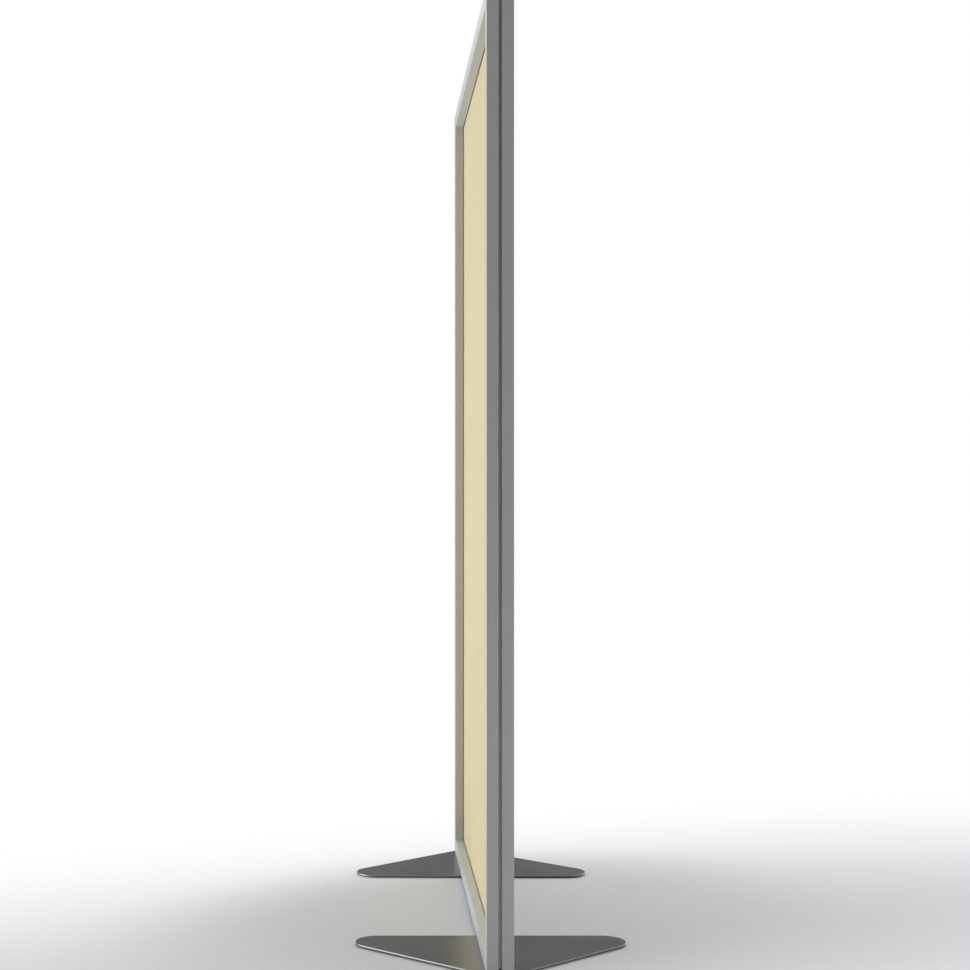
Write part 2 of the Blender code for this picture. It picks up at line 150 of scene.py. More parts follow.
def seen_directly(tree):
    """1 for rays from the camera and for rays that metal or glass sends on, else 0."""
    path = add_node(tree, "ShaderNodeLightPath")
    either = math_node(tree, "MAXIMUM", path.outputs["Is Camera Ray"],
                       path.outputs["Is Glossy Ray"])
    return math_node(tree, "MAXIMUM", either, path.outputs["Is Transmission Ray"])


world = bpy.data.worlds.new("white_studio")
world.use_nodes = True
scene.world = world
tree = world.node_tree
tree.nodes.clear()
ambient = add_node(tree, "ShaderNodeBackground", None,
                   {"Color": WHITE, "Strength": AMBIENT_STRENGTH})
backdrop = add_node(tree, "ShaderNodeBackground", None, {"Color": WHITE, "Strength": 1.0})
mix = add_node(tree, "ShaderNodeMixShader", None, {"Fac": seen_directly(tree)})
output = add_node(tree, "ShaderNodeOutputWorld")
tree.links.new(ambient.outputs[0], mix.inputs[1])
tree.links.new(backdrop.outputs[0], mix.inputs[2])
tree.links.new(mix.outputs[0], output.inputs["Surface"])
print(f"world lights at {AMBIENT_STRENGTH}, shows at 1")

# %% [markdown]
# The floor is one matt sheet, as a paper sweep is. A real sweep curves up behind the object, so
# that no horizon shows. Here the floor stays flat, and its colour fades to the white of the
# background outside two ovals round the feet, a short one and a long soft one, which keeps the
# shadow there and hides the far edge. Beside the panel the sheet's colour is a little darker, as
# painted shade, and a little cooler, painted against the warm light that the yellow cloth throws
# on it there. The light that bounces off it finds it nearly white.

# %% Floor
FLOOR_RADIUS = 14.0
FLOOR_SEGMENTS = 96
FLOOR_COLOUR = (0.750, 0.755, 0.765, 1.0)
FLOOR_BESIDE_PANEL_PAINTED_SHADE = (0.714, 0.727, 0.798, 1.0)
FLOOR_BOUNCE = (0.94, 0.94, 0.94, 1.0)
FADE_OVALS = (
    # x and y of the centre, turn in degrees, width for a length of 1, start and end of the fade
    (0.0, 0.0, -60.0, 0.65, 0.25, 0.85),
    (0.25, 0.15, -66.0, 0.36, -0.50, 3.30),
)

floor_mesh = bpy.data.meshes.new("studio_floor")
bm = bmesh.new()
bmesh.ops.create_circle(bm, cap_ends=True, radius=FLOOR_RADIUS, segments=FLOOR_SEGMENTS)
bm.to_mesh(floor_mesh)
bm.free()
floor = bpy.data.objects.new("studio_floor", floor_mesh)
scene.collection.objects.link(floor)

material, tree, shader = new_material("pale_floor", {
    "Roughness": 0.9, "Specular IOR Level": 0.0})
white = add_node(tree, "ShaderNodeEmission", None, {"Color": WHITE, "Strength": 1.0})
place = add_node(tree, "ShaderNodeTexCoord").outputs["Object"]
fade = 1.0
for x, y, turn, width, start, end in FADE_OVALS:
    oval = add_node(tree, "ShaderNodeMapping", {"vector_type": "TEXTURE"}, {
        "Vector": place, "Location": (x, y, 0.0), "Rotation": (0.0, 0.0, math.radians(turn)),
        "Scale": (1.0, width, 1.0)})
    length = add_node(tree, "ShaderNodeVectorMath", {"operation": "LENGTH"}, {0: oval.outputs[0]})
    edge = add_node(tree, "ShaderNodeMapRange", {"interpolation_type": "SMOOTHSTEP"}, {
        "Value": length.outputs["Value"], "From Min": start, "From Max": end})
    fade = math_node(tree, "MULTIPLY", edge.outputs["Result"], fade)
direct = seen_directly(tree)
# Painted shade beside the panel, darker and cooler, fades through the ovals into the plain floor
# colour.
seen = blended(tree, fade, FLOOR_BESIDE_PANEL_PAINTED_SHADE, FLOOR_COLOUR)
feed(tree, shader.inputs["Base Color"], blended(tree, direct, FLOOR_BOUNCE, seen))
shown = math_node(tree, "MULTIPLY", fade, direct)
mix = add_node(tree, "ShaderNodeMixShader", None, {"Fac": shown})
tree.links.new(shader.outputs[0], mix.inputs[1])
tree.links.new(white.outputs[0], mix.inputs[2])
tree.links.new(mix.outputs[0], tree.nodes["Material Output"].inputs["Surface"])
floor_mesh.materials.append(material)
print(f"floor {2 * FLOOR_RADIUS:.0f} m across")

# %% [markdown]
# Three large softboxes light the panel: the front one does most of the work, one from behind
# rounds off the back, and a weaker high one lifts what faces up. Small lamps would give hard
# shadows, so each is about 2 m across. Two grey cards stand behind the camera and beyond the far
# end, and the camera itself does not see them. A photographer uses such cards so that metal has
# something dark to mirror.

# %% Lamps and cards
LAMP_TARGET = (0.0, 0.0, 0.6)


def softbox(name, place, width, height, watts):
    """Large lamp that faces the panel."""
    light = bpy.data.lights.new(name, "AREA")
    light.shape = "RECTANGLE"
    light.size = width
    light.size_y = height
    light.energy = watts
    lamp = bpy.data.objects.new(name, light)
    scene.collection.objects.link(lamp)
    lamp.location = place
    aim = Vector(LAMP_TARGET) - Vector(place)
    lamp.rotation_euler = aim.to_track_quat("-Z", "Y").to_euler()


def grey_card(name, x, width, low, high, grey):
    """Upright card across the panel's length, seen by metal and by light but not by the camera."""
    bm = bmesh.new()
    bmesh.ops.create_grid(bm, x_segments=1, y_segments=1, size=0.5)
    bmesh.ops.scale(bm, verts=bm.verts, vec=(high - low, width, 1.0))
    bmesh.ops.rotate(bm, verts=bm.verts, matrix=Matrix.Rotation(math.pi / 2, 3, "Y"))
    bmesh.ops.translate(bm, verts=bm.verts, vec=(x, 0.0, (low + high) / 2))
    mesh = bpy.data.meshes.new(name)
    bm.to_mesh(mesh)
    bm.free()
    card = bpy.data.objects.new(name, mesh)
    scene.collection.objects.link(card)
    card.visible_camera = False
    mesh.materials.append(new_material(name, {"Base Color": (grey, grey, grey, 1.0)})[0])


softbox("front_softbox", place=(0.0, -4.35, 0.85), width=2.5, height=1.6, watts=105)
softbox("back_softbox", place=(-3.07, 3.07, 1.05), width=2.5, height=1.9, watts=100)
softbox("high_softbox", place=(-3.18, 0.0, 3.78), width=2.5, height=2.5, watts=55)
grey_card("near_card", x=5.0, width=7.5, low=0.0, high=5.0, grey=0.11)
grey_card("far_card", x=-6.0, width=6.0, low=0.0, high=3.2, grey=0.22)

# %% [markdown]
# Real surfaces are never one flat colour: metal was drawn, steel was sprayed, cloth was woven.
# Most of that shows as slight changes of tone, gloss and height. Each such effect could be wired
# anew in every material, but several need the same one. A node group holds it once, with inputs
# for what differs, as a plug-in does in a sound studio. Noise seldom leaves the middle of 0 to 1,
# and a sum of noises even less, so that middle part is spread wide before it is used.

# %% Group that holds tone changes of two sizes
STRONG_CONTRAST = (0.30, 0.70)
SOFT_CONTRAST = (0.25, 0.75)
WIDE_RANGE = (0.2, 0.8)


def new_group(name, inputs, outputs):
    """Empty shader node group; returns it with its input and output nodes."""
    group = bpy.data.node_groups.new(name, "ShaderNodeTree")
    for side, sockets in (("INPUT", inputs), ("OUTPUT", outputs)):
        for socket, kind in sockets.items():
            group.interface.new_socket(name=socket, in_out=side, socket_type="NodeSocket" + kind)
    return group, add_node(group, "NodeGroupInput"), add_node(group, "NodeGroupOutput")


def place_group(tree, group, values):
    """Group placed in a material, with its inputs set or linked."""
    return add_node(tree, "ShaderNodeGroup", {"node_tree": group}, values).outputs


def noise_value(tree, vector, scale, detail=2.0, roughness=0.5):
    """Cloudy value between 0 and 1 that changes over a length of about 1 / scale."""
    return add_node(tree, "ShaderNodeTexNoise", None, {
        "Vector": vector, "Scale": scale, "Detail": detail, "Roughness": roughness}).outputs[0]


surface_tone, inside, outside = new_group(
    "surface_tone", {"Vector": "Vector", "Broad Scale": "Float", "Fine Scale": "Float"},
    {"Broad": "Float", "Fine": "Float"})
place = inside.outputs["Vector"]
broad = noise_value(surface_tone, place, inside.outputs["Broad Scale"], detail=4.0)
fine = noise_value(surface_tone, place, inside.outputs["Fine Scale"])
feed(surface_tone, outside.inputs["Broad"], spread(surface_tone, broad, *STRONG_CONTRAST))
feed(surface_tone, outside.inputs["Fine"], spread(surface_tone, fine, *SOFT_CONTRAST))
print("group:", surface_tone.name)

# %% [markdown]
# An extrusion is pressed through a steel die, which leaves long fine lines in it, and anodising
# keeps them. Painting lines one by one would be endless. Noise whose coordinates are squeezed
# across the member and stretched along it gives the same streaks, two sizes of them at once.

# %% Group that holds the lines of a drawn or ground surface
HAIR_SCALE = 3.2
BAND_SCALE = 0.35

drawn_lines, inside, outside = new_group(
    "drawn_lines", {"Vector": "Vector"}, {"Lines": "Float", "Bands": "Float"})
hair = noise_value(drawn_lines, inside.outputs["Vector"], HAIR_SCALE, detail=3.0, roughness=0.6)
band = noise_value(drawn_lines, inside.outputs["Vector"], BAND_SCALE)
feed(drawn_lines, outside.inputs["Lines"], spread(drawn_lines, hair, *SOFT_CONTRAST))
feed(drawn_lines, outside.inputs["Bands"], spread(drawn_lines, band, *STRONG_CONTRAST))
print("group:", drawn_lines.name)

# %% [markdown]
# Hands, shoes and other panels touch the edges first, so a coat is thinnest and brightest there,
# and a rounded edge would catch the light as well, so the lighter edges here are partly wear and
# partly a painted highlight. Edges could be marked by hand, but the Bevel node finds them: it
# returns the normal that a rounded edge would have, and where that differs from the real normal,
# an edge is near. Noise then breaks the mark up, because wear is never even.

# %% Group that finds edges
BEVEL_SAMPLES = 4
EDGE_STARTS = 0.995
EDGE_FULL = 0.80
PATCH_CONTRAST = (0.35, 0.65)

edge_wear_and_highlight, inside, outside = new_group(
    "edge_wear_and_highlight", {"Vector": "Vector", "Radius": "Float", "Patch Scale": "Float"},
    {"Wear And Highlight": "Float"})
rounded = add_node(edge_wear_and_highlight, "ShaderNodeBevel", {"samples": BEVEL_SAMPLES},
                   {"Radius": inside.outputs["Radius"]})
facing = add_node(edge_wear_and_highlight, "ShaderNodeNewGeometry")
same = add_node(edge_wear_and_highlight, "ShaderNodeVectorMath", {"operation": "DOT_PRODUCT"},
                {0: rounded.outputs[0], 1: facing.outputs["Normal"]})
# Near an edge the mark grows: partly wear, partly painted highlight.
near_edge = spread(edge_wear_and_highlight, same.outputs["Value"], EDGE_STARTS, EDGE_FULL)
patches = noise_value(edge_wear_and_highlight, inside.outputs["Vector"], inside.outputs["Patch Scale"],
                      detail=4.0)
feed(edge_wear_and_highlight, outside.inputs["Wear And Highlight"], math_node(
    edge_wear_and_highlight, "MULTIPLY", near_edge, spread(edge_wear_and_highlight, patches, *PATCH_CONTRAST)))
print("group:", edge_wear_and_highlight.name)

# %% [markdown]
# Posts and rails are one aluminium profile with a satin anodised skin. Bare metal would mirror
# the room, but the skin scatters much of the light, so this is a mix of metal and a matt grey.
# The lines must run along each member, so posts and rails get the same recipe, stretched along
# Z in one and along X in the other.

# %% Anodised aluminium
ALUMINIUM_DARK = (0.490, 0.492, 0.495, 1.0)
ALUMINIUM_LIGHT = (0.590, 0.592, 0.590, 1.0)
ALUMINIUM_EDGE = (0.660, 0.660, 0.655, 1.0)
LINES_ACROSS = 700.0
LINES_ALONG = 3.0
METAL_SHARE = 0.35
SATIN_ROUGHNESS = (0.62, 0.50)
EDGE_WEAR_HIGHLIGHT_SHARE = 0.5
LINE_DEPTH = 0.00003


def object_place(tree):
    """Coordinates of the piece itself, in metres."""
    return add_node(tree, "ShaderNodeTexCoord").outputs["Object"]


def bump(tree, shader, height, depth, normal=None):
    """Relief of a depth in metres on a normal; height is 0 to 1."""
    node = add_node(tree, "ShaderNodeBump", None, {
        "Height": height, "Distance": depth, "Normal": normal})
    tree.links.new(node.outputs["Normal"], shader.inputs["Normal"])


def summed(tree, parts):
    """Sum of value times share, for pairs of (value, share)."""
    total = None
    for value, share in parts:
        term = math_node(tree, "MULTIPLY", value, share)
        total = term if total is None else math_node(tree, "ADD", total, term)
    return total


def anodised(name, stretch):
    """Satin anodised finish whose lines are squeezed across and stretched along a member."""
    material, tree, shader = new_material(name, {"Metallic": METAL_SHARE})
    place = object_place(tree)
    stretched = add_node(tree, "ShaderNodeMapping", None, {"Vector": place, "Scale": stretch})
    lines = place_group(tree, drawn_lines, {"Vector": stretched.outputs[0]})
    tone = place_group(tree, surface_tone, {
        "Vector": place, "Broad Scale": 2.5, "Fine Scale": 1400.0})
    edge_marks = place_group(tree, edge_wear_and_highlight, {"Vector": place, "Radius": 0.0012, "Patch Scale": 9.0})
    shade = summed(tree, ((lines["Lines"], 0.40), (lines["Bands"], 0.25), (tone["Broad"], 0.20),
                          (tone["Fine"], 0.15)))
    colour = blended(tree, shade, ALUMINIUM_DARK, ALUMINIUM_LIGHT)
    # Lighter edges, partly wear and partly a painted highlight.
    wear_and_highlight = math_node(tree, "MULTIPLY", edge_marks["Wear And Highlight"], EDGE_WEAR_HIGHLIGHT_SHARE)
    feed(tree, shader.inputs["Base Color"], blended(tree, wear_and_highlight, colour, ALUMINIUM_EDGE))
    feed(tree, shader.inputs["Roughness"], spread(tree, shade, *WIDE_RANGE, *SATIN_ROUGHNESS))
    bump(tree, shader, summed(tree, ((lines["Lines"], 0.7), (tone["Fine"], 0.3))), LINE_DEPTH)
    return material


posts_finish = anodised("anodised_posts", (LINES_ACROSS, LINES_ACROSS, LINES_ALONG))
rails_finish = anodised("anodised_rails", (LINES_ALONG, LINES_ACROSS, LINES_ACROSS))
print("materials:", posts_finish.name, rails_finish.name)

# %% [markdown]
# The feet are cut from steel plate and coated satin dark grey. A sprayed coat has the fine dimples
# of an orange skin and mirrors softly at a low angle. The cut rim was eased with a file before
# coating, so it slopes a little. A bright line of steel-grey metal is painted along it as a
# highlight, the sides below it are painted near black as painted shade, and edges are lighter,
# partly as wear and partly as a painted highlight. The normal tells the flat top from the sides,
# so no mask has to be painted, and a normal that leans up stands for the slope.

# %% Coated steel feet
COAT_DARK = (0.133, 0.135, 0.142, 1.0)
COAT_LIGHT = (0.145, 0.147, 0.154, 1.0)
RIM_PAINTED_HIGHLIGHT = (0.27, 0.27, 0.265, 1.0)
SIDE_PAINTED_SHADE = (0.035, 0.035, 0.036, 1.0)
COAT_ROUGHNESS = (0.17, 0.23)
DIMPLE_DEPTH = 0.00004
RIM_DEPTH = 0.0022
RIM_SOFTNESS = 0.0004
RIM_SLOPE = 0.21
RIM_HIGHLIGHT_SHARE = 0.85
RIM_ROUGHER = 0.20
FOOT_EDGE_WEAR_HIGHLIGHT = 0.15
TOP_NORMAL = 0.85
SIDE_NORMAL = 0.60

rim_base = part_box("near_foot_plate")[1].z - RIM_DEPTH
foot_finish, tree, shader = new_material("coated_steel", {})
place = object_place(tree)
tone = place_group(tree, surface_tone, {"Vector": place, "Broad Scale": 9.0, "Fine Scale": 650.0})
edge_marks = place_group(tree, edge_wear_and_highlight, {"Vector": place, "Radius": 0.0015, "Patch Scale": 14.0})
facing = add_node(tree, "ShaderNodeSeparateXYZ", None, {
    0: add_node(tree, "ShaderNodeTexCoord").outputs["Normal"]})
height = add_node(tree, "ShaderNodeSeparateXYZ", None, {0: place}).outputs["Z"]
sideways = spread(tree, math_node(tree, "ABSOLUTE", facing.outputs["Z"]), TOP_NORMAL,
                  SIDE_NORMAL)
upper = spread(tree, height, rim_base - RIM_SOFTNESS, rim_base)
rim = math_node(tree, "MULTIPLY", sideways, upper)
coat = blended(tree, summed(tree, ((tone["Broad"], 0.6), (tone["Fine"], 0.4))),
               COAT_DARK, COAT_LIGHT)
# Sides painted near black below the rim: painted shade.
coat = blended(tree, sideways, coat, SIDE_PAINTED_SHADE)
# Bright rim as painted highlight, plus lighter edges, partly wear and partly painted highlight.
steel = summed(tree, ((rim, RIM_HIGHLIGHT_SHARE), (edge_marks["Wear And Highlight"], FOOT_EDGE_WEAR_HIGHLIGHT)))
feed(tree, shader.inputs["Base Color"], blended(tree, steel, coat, RIM_PAINTED_HIGHLIGHT))
feed(tree, shader.inputs["Metallic"], steel)
feed(tree, shader.inputs["Roughness"], summed(tree, (
    (spread(tree, tone["Broad"], 0.0, 1.0, *COAT_ROUGHNESS), 1.0), (rim, RIM_ROUGHER))))
slope = add_node(tree, "ShaderNodeCombineXYZ", None, {
    "Z": math_node(tree, "MULTIPLY", rim, RIM_SLOPE)})
raised = add_node(tree, "ShaderNodeVectorMath", {"operation": "ADD"}, {
    0: add_node(tree, "ShaderNodeNewGeometry").outputs["Normal"], 1: slope.outputs[0]})
leaning = add_node(tree, "ShaderNodeVectorMath", {"operation": "NORMALIZE"},
                   {0: raised.outputs[0]})
bump(tree, shader, tone["Fine"], DIMPLE_DEPTH, leaning.outputs[0])
print("material:", foot_finish.name)

# %% [markdown]
# The pieces inside and below the frame each have their own stuff: zinc-plated screws and nut
# bars, die-cast corner keys, ribbed rubber strips, moulded blocks and rubber pads. They could
# share one grey, but seen in a cut or from below they would look like one lump. One recipe with
# different numbers gives each its grain, spread of tone and gloss, and lighter edges that are
# partly wear and partly a painted highlight. The strips under the top rail get a near black copy
# of the rubber as painted shade, because the real panel shows a dark line of shade there and a
# pale one below.

# %% Small parts
EDGE_WEAR_HIGHLIGHT_LIGHTER = 1.5
EDGE_WEAR_HIGHLIGHT_RADIUS = 0.0008


def grained(name, dark, light, gloss, broad, fine, depth, metallic=0.0, wear_and_highlight_share=0.0):
    """Finish with tones between dark and light, gloss from rough to smooth, and a fine relief."""
    material, tree, shader = new_material(name, {"Metallic": metallic})
    place = object_place(tree)
    tone = place_group(tree, surface_tone, {
        "Vector": place, "Broad Scale": broad, "Fine Scale": fine})
    shade = summed(tree, ((tone["Broad"], 0.5), (tone["Fine"], 0.5)))
    colour = blended(tree, shade, (*dark, 1.0), (*light, 1.0))
    # Lighter edges, partly wear and partly a painted highlight.
    if wear_and_highlight_share:
        edge_marks = place_group(tree, edge_wear_and_highlight, {
            "Vector": place, "Radius": EDGE_WEAR_HIGHLIGHT_RADIUS, "Patch Scale": 60.0})
        wear_and_highlight = math_node(tree, "MULTIPLY", edge_marks["Wear And Highlight"], wear_and_highlight_share)
        bright = tuple(min(1.0, part * EDGE_WEAR_HIGHLIGHT_LIGHTER) for part in light)
        colour = blended(tree, wear_and_highlight, colour, (*bright, 1.0))
    feed(tree, shader.inputs["Base Color"], colour)
    feed(tree, shader.inputs["Roughness"], spread(tree, shade, 0.0, 1.0, *gloss))
    bump(tree, shader, tone["Fine"], depth)
    return material


zinc_finish = grained("zinc_plate", (0.50, 0.52, 0.55), (0.64, 0.65, 0.66), (0.42, 0.28),
                      broad=180.0, fine=2500.0, depth=0.00001, metallic=0.9, wear_and_highlight_share=0.6)
key_finish = grained("cast_key", (0.42, 0.43, 0.44), (0.56, 0.57, 0.58), (0.65, 0.48),
                     broad=60.0, fine=1400.0, depth=0.00008, metallic=0.8, wear_and_highlight_share=0.5)
strip_finish = grained("glazing_rubber", (0.52, 0.51, 0.47), (0.62, 0.61, 0.57), (0.80, 0.62),
                       broad=35.0, fine=1800.0, depth=0.00003)
# Near black copy of the strip rubber: painted shade for the strips under the top rail.
painted_shade_strip_finish = grained("glazing_rubber_painted_shade", (0.07, 0.07, 0.06), (0.11, 0.11, 0.10),
                              (0.80, 0.62), broad=35.0, fine=1800.0, depth=0.00003)
block_finish = grained("moulded_block", (0.17, 0.17, 0.18), (0.22, 0.22, 0.23), (0.60, 0.45),
                       broad=50.0, fine=1500.0, depth=0.00003, wear_and_highlight_share=0.3)
pad_finish = grained("pad_rubber", (0.040, 0.040, 0.040), (0.062, 0.061, 0.060), (0.92, 0.75),
                     broad=90.0, fine=1600.0, depth=0.00006)
for small_finish in (zinc_finish, key_finish, strip_finish, painted_shade_strip_finish, block_finish,
                     pad_finish):
    print("material:", small_finish.name)

# %% [markdown]
# Fibreboard is pressed wood fibre. Its face shows short pale and dark fibres that lie every way.
# One even noise would look like sand. Two stretched noises, turned against each other, cross as
# fibres do, and their sum carries colour, gloss and relief.

# %% Fibreboard core
BOARD_DARK = (0.30, 0.21, 0.13, 1.0)
BOARD_LIGHT = (0.50, 0.38, 0.25, 1.0)
BOARD_ROUGHNESS = (0.95, 0.80)
FIBRE_ANGLES = (0.5, 2.1)
FIBRE_SQUEEZE = (900.0, 900.0, 130.0)
FIBRE_DEPTH = 0.00010

board_finish, tree, shader = new_material("fibreboard", {"Specular IOR Level": 0.2})
place = object_place(tree)
tone = place_group(tree, surface_tone, {"Vector": place, "Broad Scale": 7.0, "Fine Scale": 900.0})
fibres = []
for angle in FIBRE_ANGLES:
    turned = add_node(tree, "ShaderNodeMapping", None, {
        "Vector": place, "Rotation": (0.0, angle, 0.0), "Scale": FIBRE_SQUEEZE})
    fibres.append((noise_value(tree, turned.outputs[0], 1.0), 0.35))
shade = summed(tree, fibres + [(tone["Broad"], 0.15), (tone["Fine"], 0.15)])
feed(tree, shader.inputs["Base Color"], blended(
    tree, spread(tree, shade, *STRONG_CONTRAST), BOARD_DARK, BOARD_LIGHT))
feed(tree, shader.inputs["Roughness"], spread(tree, shade, *STRONG_CONTRAST, *BOARD_ROUGHNESS))
bump(tree, shader, shade, FIBRE_DEPTH)
print("material:", board_finish.name)

# %% [markdown]
# The cover is a plain weave: each yarn goes over one crossing yarn and under the next. A picture
# of cloth would repeat and blur, so the weave is worked out from the flat cloth's own
# coordinates. Which yarn is on top follows a chequerboard of cells, and each cell bulges along
# its top yarn. Yarns differ a little in shade and thickness, and that is what shows from afar.

# %% Group that weaves yarns
YARN_DIP = 0.4
YARN_FLATNESS = 0.6
YARN_STREAK = 0.012
SHADE_SCALE = 1.1
SLUB_SCALE = 0.35

weave, inside, outside = new_group(
    "plain_weave", {"Flat Place": "Vector", "Yarns Per Metre": "Float"},
    {"Height": "Float", "Yarn Shade": "Float", "Slub": "Float"})
flat = add_node(weave, "ShaderNodeVectorMath", {"operation": "SCALE"}, {
    0: inside.outputs["Flat Place"], "Scale": inside.outputs["Yarns Per Metre"]}).outputs[0]
sides = add_node(weave, "ShaderNodeSeparateXYZ", None, {0: flat})
bulges, numbers = [], []
for axis in ("X", "Y"):
    along = sides.outputs[axis]
    number = math_node(weave, "FLOOR", along)
    centred = math_node(weave, "SUBTRACT", math_node(weave, "SUBTRACT", along, number), 0.5)
    bulges.append(math_node(weave, "COSINE", math_node(weave, "MULTIPLY", centred, math.pi)))
    numbers.append(number)
chequer = math_node(weave, "MODULO", math_node(
    weave, "ABSOLUTE", math_node(weave, "ADD", numbers[0], numbers[1])), 2.0)
across, along = bulges
tops = []
for own, crossing in ((across, along), (along, across)):
    dip = math_node(weave, "ADD", math_node(weave, "MULTIPLY", crossing, YARN_DIP),
                    1.0 - YARN_DIP)
    tops.append(math_node(weave, "MULTIPLY", math_node(weave, "POWER", own, YARN_FLATNESS), dip))
step = math_node(weave, "MULTIPLY", chequer, math_node(weave, "SUBTRACT", tops[1], tops[0]))
feed(weave, outside.inputs["Height"], math_node(weave, "ADD", tops[0], step))
shades, slubs = [], []
for x, y in ((1.0, YARN_STREAK), (YARN_STREAK, 1.0)):
    stretched = add_node(weave, "ShaderNodeMapping", None, {"Vector": flat, "Scale": (x, y, 1.0)})
    shades.append(noise_value(weave, stretched.outputs[0], SHADE_SCALE, detail=1.0))
    slubs.append(noise_value(weave, stretched.outputs[0], SLUB_SCALE))
for pair, name in ((shades, "Yarn Shade"), (slubs, "Slub")):
    choice = add_node(weave, "ShaderNodeMix", None, {0: chequer, 2: pair[0], 3: pair[1]})
    feed(weave, outside.inputs[name], spread(weave, choice.outputs[0], *STRONG_CONTRAST))
print("group:", weave.name)

# %% [markdown]
# The cloth is pale yellow with a soft, dry surface, and it must stay even from afar, as dyed
# upholstery cloth does. So the yarns change its colour by less than a tenth, the gaps between
# them get a little painted shade, and a broad tone keeps large areas from looking printed.
# A faint sheen stands for the fuzz on the yarns.

# %% Yellow cloth
CLOTH_DARK = (0.682, 0.622, 0.386, 1.0)
CLOTH_LIGHT = (0.768, 0.711, 0.458, 1.0)
CLOTH_GAP_PAINTED_SHADE = (0.548, 0.480, 0.272, 1.0)
YARNS_PER_METRE = 900.0
YARN_DEPTH = 0.00025
GAP_SHADE_SHARE = 0.7
CLOTH_ROUGHNESS = (0.95, 0.85)

cloth_finish, tree, shader = new_material("yellow_cloth", {
    "Specular IOR Level": 0.15, "Sheen Weight": 0.04, "Sheen Roughness": 0.5})
flat = add_node(tree, "ShaderNodeUVMap", {"uv_map": "flat_cloth"}).outputs[0]
yarns = place_group(tree, weave, {"Flat Place": flat, "Yarns Per Metre": YARNS_PER_METRE})
tone = place_group(tree, surface_tone, {
    "Vector": object_place(tree), "Broad Scale": 3.0, "Fine Scale": 160.0})
shade = summed(tree, ((yarns["Yarn Shade"], 0.35), (yarns["Slub"], 0.35), (tone["Broad"], 0.15),
                      (tone["Fine"], 0.15)))
colour = blended(tree, shade, CLOTH_DARK, CLOTH_LIGHT)
# Painted shade in the low places between the yarns.
gap_shade = spread(tree, yarns["Height"], 0.45, 0.15)
feed(tree, shader.inputs["Base Color"], blended(
    tree, math_node(tree, "MULTIPLY", gap_shade, GAP_SHADE_SHARE), colour, CLOTH_GAP_PAINTED_SHADE))
feed(tree, shader.inputs["Roughness"], spread(tree, shade, *WIDE_RANGE, *CLOTH_ROUGHNESS))
bump(tree, shader, summed(tree, ((yarns["Height"], 0.8), (yarns["Slub"], 0.2))), YARN_DEPTH)
print("material:", cloth_finish.name)

# %% [markdown]
# The cloth is a flat rectangle of fabric, stretched over the board's face and glued round its
# edges. A box would give its outside, but no thread direction and no fold. So it is cut flat as a
# grid, with closer lines where it folds. The square at each corner is cut out, as an upholsterer
# does, so that no double layer lies there. The flat places stay in the UV map, in metres.

# %% Cloth cut flat
CLOTH_CELL = 0.012
FOLD_LINES = 6


def fold_lines(bm, flat_half, radius):
    """Cut lines across the flat cloth where it bends, and take its four corners out."""
    for axis, half in enumerate(flat_half):
        for sign in (-1, 1):
            for line in range(FOLD_LINES):
                place = [0.0, 0.0, 0.0]
                place[axis] = sign * (half + line / (FOLD_LINES - 1) * radius * math.pi / 2)
                normal = [0.0, 0.0, 0.0]
                normal[axis] = 1.0
                bmesh.ops.bisect_plane(bm, geom=bm.verts[:] + bm.edges[:] + bm.faces[:],
                                       plane_co=place, plane_no=normal, dist=1e-6)
    corners = [face for face in bm.faces
               if all(abs(face.calc_center_median()[i]) > flat_half[i] for i in (0, 1))]
    bmesh.ops.delete(bm, geom=corners, context="FACES")


def flat_cloth(reach, flat_half, radius):
    """Grid twice as wide and high as reach, cut at its folds where it is wider than its face."""
    bm = bmesh.new()
    bmesh.ops.create_grid(bm, x_segments=round(2 * reach[0] / CLOTH_CELL),
                          y_segments=round(2 * reach[1] / CLOTH_CELL), size=1.0)
    bmesh.ops.scale(bm, verts=bm.verts, vec=(reach[0], reach[1], 1.0))
    if reach != flat_half:
        fold_lines(bm, flat_half, radius)
    flat_map = bm.loops.layers.uv.new("flat_cloth")
    for face in bm.faces:
        for loop in face.loops:
            loop[flat_map].uv = loop.vert.co.xy
    return bm


print(f"cloth in cells of {1000 * CLOTH_CELL:.0f} mm, {FOLD_LINES} lines in each fold")

# %% [markdown]
# Next, each point is carried to its place on the board: it stays in the face up to the fold,
# turns along a quarter circle, and then runs straight back along the edge. A lattice could bend
# the grid as well, but it would stretch the fabric, while this keeps every length as it was cut.
# Near the frame the cloth pulls unevenly, and a ripple of a tenth of a millimetre shows that.

# %% Cloth carried round the board's edge
CLOTH_THICKNESS = 0.0007
CLOTH_FOLD = 0.0015
RIPPLE_HEIGHT = 0.00012
RIPPLE_LENGTH = 0.075
RIPPLE_REACH = 0.16


def carried_round(distance, flat_half, radius):
    """Place of a point at a distance from the middle: (outwards, backwards) past the fold."""
    beyond = distance - flat_half
    if beyond <= 0:
        return distance, 0.0
    angle = beyond / radius
    if angle < math.pi / 2:
        return flat_half + radius * math.sin(angle), radius * (1 - math.cos(angle))
    return flat_half + radius, radius + beyond - radius * math.pi / 2


def ripple(u, v, half_width, half_height):
    """How far the stretched cloth stands off near the frame, where it pulls unevenly."""
    inside = min(half_width - abs(u), half_height - abs(v))
    share = max(0.0, 1.0 - inside / RIPPLE_REACH)
    return RIPPLE_HEIGHT * share * share * abs(noise.noise(Vector((u, v, 0.0)) / RIPPLE_LENGTH))


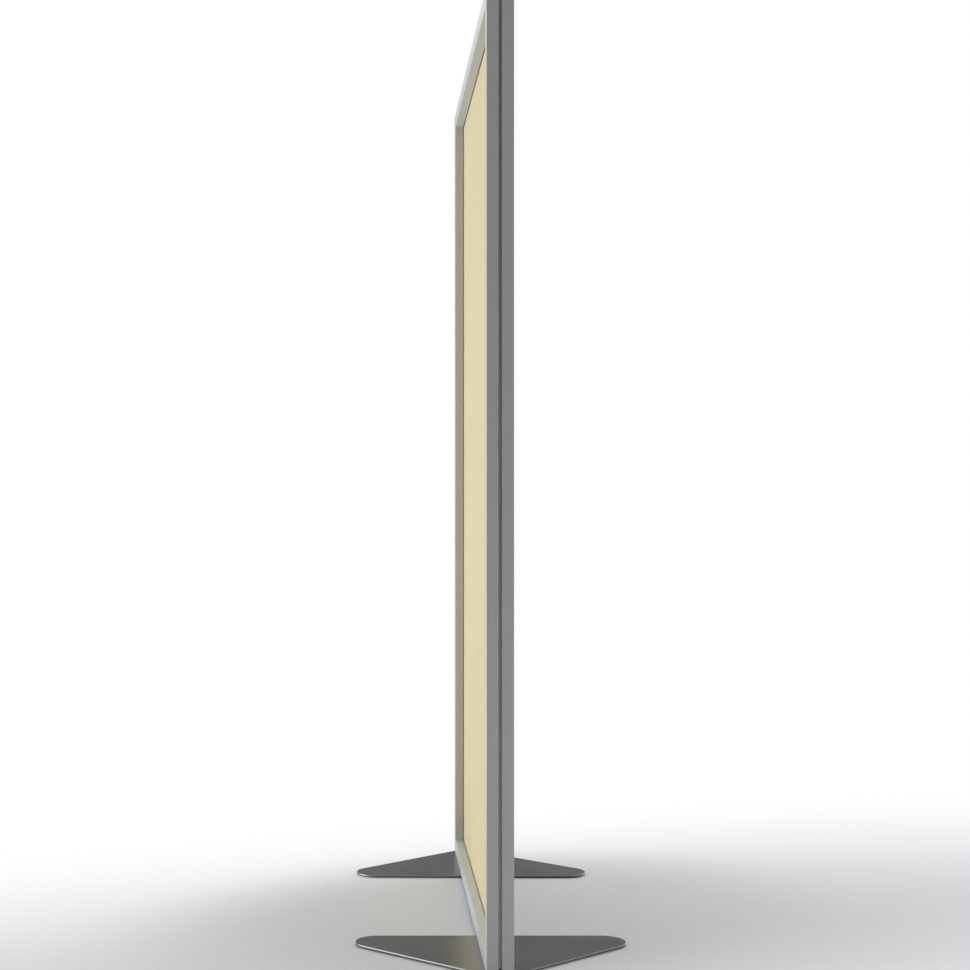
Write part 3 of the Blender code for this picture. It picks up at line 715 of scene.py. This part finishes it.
def laid_on_board(bm, low, high, side, flat_half, radius):
    """Carry every point of the flat cloth to the board's face on one side, facing outwards."""
    face_y = low.y if side < 0 else high.y
    half_width = (high.x - low.x) / 2
    half_height = (high.z - low.z) / 2
    for vert in bm.verts:
        u, v = vert.co.x, vert.co.y
        x, back_x = carried_round(abs(u), flat_half[0], radius)
        z, back_z = carried_round(abs(v), flat_half[1], radius)
        depth = CLOTH_THICKNESS / 2 + max(back_x, back_z)
        depth -= ripple(u, v, half_width, half_height)
        vert.co = (math.copysign(x, u), face_y - side * depth,
                   (high.z + low.z) / 2 + math.copysign(z, v))
    bmesh.ops.recalc_face_normals(bm, faces=bm.faces)
    if max(bm.faces, key=lambda face: face.calc_area()).normal.y * side < 0:
        bmesh.ops.reverse_faces(bm, faces=bm.faces)


print(f"cloth {1000 * CLOTH_THICKNESS:.1f} mm thick, folded at {1000 * CLOTH_FOLD:.1f} mm")

# %% [markdown]
# The front cloth goes round the board's edges, and the back cloth is cut to the board's face and
# only glued on, so one recipe with a rim of nothing makes both. Thickness could be modelled as a
# second skin, but Solidify gives it from one sheet, and the piece stays easy to change.

# %% Front and back cloth
def stretched_cloth(name, node, side, rim):
    """Cloth over one face of the board; side is -1 for the front, rim its depth round the edge."""
    low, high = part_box(node)
    radius = CLOTH_FOLD - CLOTH_THICKNESS / 2
    flat_half = ((high.x - low.x) / 2, (high.z - low.z) / 2)
    turn = 0.0
    if rim:
        flat_half = (flat_half[0] - CLOTH_FOLD, flat_half[1] - CLOTH_FOLD)
        turn = rim - CLOTH_FOLD + radius * math.pi / 2
    reach = (flat_half[0] + turn, flat_half[1] + turn)
    bm = flat_cloth(reach, flat_half, radius)
    laid_on_board(bm, low, high, side, flat_half, radius)
    mesh = bpy.data.meshes.new(name)
    bm.to_mesh(mesh)
    bm.free()
    mesh.shade_smooth()
    mesh.materials.append(cloth_finish)
    cloth = bpy.data.objects.new(name, mesh)
    scene.collection.objects.link(cloth)
    wall = cloth.modifiers.new("thickness", "SOLIDIFY")
    wall.thickness = CLOTH_THICKNESS
    wall.offset = 0.0
    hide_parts(node)
    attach(cloth, "root")
    print(f"{name}: {2 * reach[0]:.4f} x {2 * reach[1]:.4f} m flat, {len(mesh.polygons)} faces")


front_low, front_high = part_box("front_cloth")
stretched_cloth("front_fabric", "front_cloth", -1, front_high.y - front_low.y)
stretched_cloth("back_fabric", "back_cloth", 1, 0.0)

# %% [markdown]
# Every solid that stays gets its finish now. The finishes could be handed out by name in forty
# lines, but the imported record already says which stuff each node is made of. So one table turns
# a material slot into a finish. Only two kinds of piece need a second look at the name: a rail,
# whose lines run another way than a post's, and the strips under the top rail, which get the
# painted shade copy of the rubber.

# %% Finishes on the solids
FINISHES = {
    "satin_aluminium": posts_finish,
    "cast_key": key_finish,
    "board": board_finish,
    "cloth": cloth_finish,
    "strip_rubber": strip_finish,
    "block_plastic": block_finish,
    "foot_steel": foot_finish,
    "zinc_steel": zinc_finish,
    "pad_rubber": pad_finish,
}
for subpart in frame["record"]["subparts"]:
    finish = FINISHES[subpart["material_slot"]]
    if subpart["node"].endswith("_rail"):
        finish = rails_finish
    # Strips under the top rail get the painted shade copy of the rubber.
    elif subpart["node"].startswith("glazing_strip_top"):
        finish = painted_shade_strip_finish
    solid = solids[subpart["node"]]
    solid.data.materials.clear()
    solid.data.materials.append(finish)
print(f"{len(solids)} solids have a finish")
